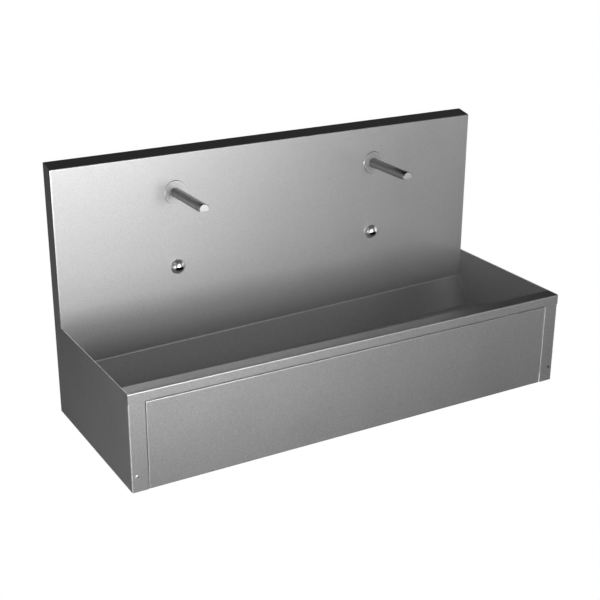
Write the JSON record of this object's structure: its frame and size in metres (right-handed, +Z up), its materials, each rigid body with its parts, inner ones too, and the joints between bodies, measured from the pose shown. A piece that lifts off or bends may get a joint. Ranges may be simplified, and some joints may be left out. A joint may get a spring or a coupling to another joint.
{
  "type": "trough sink",
  "caption": "Wall-hung sheet steel trough sink with tall splashback, straight wall spouts, round touch-free sensors, falling floor and a drop-down front access panel.",
  "frame": {"origin": "on the wall plane, at mid length, at the height of the rim: the middle of the four wall bolt holes", "axes": "+X to the right seen from the front, +Y back into the wall, +Z up"},
  "size_m": [1.25, 0.482, 0.6702],
  "materials": {
    "satin_steel": "satin, fine even grain",
    "spout_steel": "brushed along the tube",
    "inner_steel": "mill finish, dull",
    "mirror_chrome": "polished",
    "dark_window": "dark glossy, passes infrared",
    "brass": "turned, slightly dull",
    "pipe_steel": "drawn tube",
    "black_plastic": "moulded, matt",
    "grey_plastic": "moulded, light grey",
    "lever_coat": "red dipped coating",
    "rubber": "matt black",
    "damping_sheet": "bitumen sheet, pebbled"
  },
  "bodies": {
    "trough": {"splashback": "satin_steel", "basin": "satin_steel", "end_panel_left": "satin_steel", "end_panel_right": "satin_steel", "splashback_stiffener": "inner_steel", "service_rail": "inner_steel", "wall_bracket_left": "inner_steel", "wall_bracket_right": "inner_steel", "bracket_nuts": "inner_steel", "bracket_washers": "inner_steel", "damping_pads": "damping_sheet", "spout_left": "spout_steel", "spout_right": "spout_steel", "spout_rosette_left": "satin_steel", "spout_rosette_right": "satin_steel", "spout_nozzle_left": "black_plastic", "spout_nozzle_right": "black_plastic", "spout_locknut_left": "brass", "spout_locknut_right": "brass", "spout_elbow_left": "brass", "spout_elbow_right": "brass", "sensor_dome_left": "mirror_chrome", "sensor_dome_right": "mirror_chrome", "sensor_window_left": "dark_window", "sensor_window_right": "dark_window", "sensor_barrel_left": "black_plastic", "sensor_barrel_right": "black_plastic", "sensor_locknut_left": "black_plastic", "sensor_locknut_right": "black_plastic", "feed_pipe_left": "pipe_steel", "feed_pipe_right": "pipe_steel", "solenoid_valve_left": "brass", "solenoid_valve_right": "brass", "solenoid_coil_left": "black_plastic", "solenoid_coil_right": "black_plastic", "coil_nuts": "inner_steel", "compression_nuts": "brass", "stop_valve_left": "brass", "stop_valve_right": "brass", "control_box": "grey_plastic", "lid_gasket": "rubber", "control_box_lid": "grey_plastic", "control_box_screws": "inner_steel", "cable_glands": "black_plastic", "waste_body": "satin_steel", "waste_seal": "rubber", "waste_backnut": "brass"},
    "panel": {"access_panel": "satin_steel", "panel_lock_tabs": "inner_steel", "panel_hooks": "inner_steel"},
    "strainer": {"waste_strainer": "satin_steel"},
    "lever_left": {"stop_lever_left": "lever_coat"},
    "lever_right": {"stop_lever_right": "lever_coat"}
  },
  "joints": [
    {"name": "panel_drop", "type": "slide", "parent": "trough", "child": "panel", "axis": [0, 0, -1], "range_m": [0, 0.24]},
    {"name": "strainer_lift", "type": "slide", "parent": "trough", "child": "strainer", "axis": [0, 0, 1], "range_m": [0, 0.06]},
    {"name": "stop_left_turn", "type": "hinge", "parent": "trough", "child": "lever_left", "pos_m": [-0.24, -0.026, -0.2], "axis": [0, -1, 0], "range_deg": [0, 90]},
    {"name": "stop_right_turn", "type": "hinge", "parent": "trough", "child": "lever_right", "pos_m": [0.24, -0.026, -0.2], "axis": [0, -1, 0], "range_deg": [0, 90]}
  ]
}
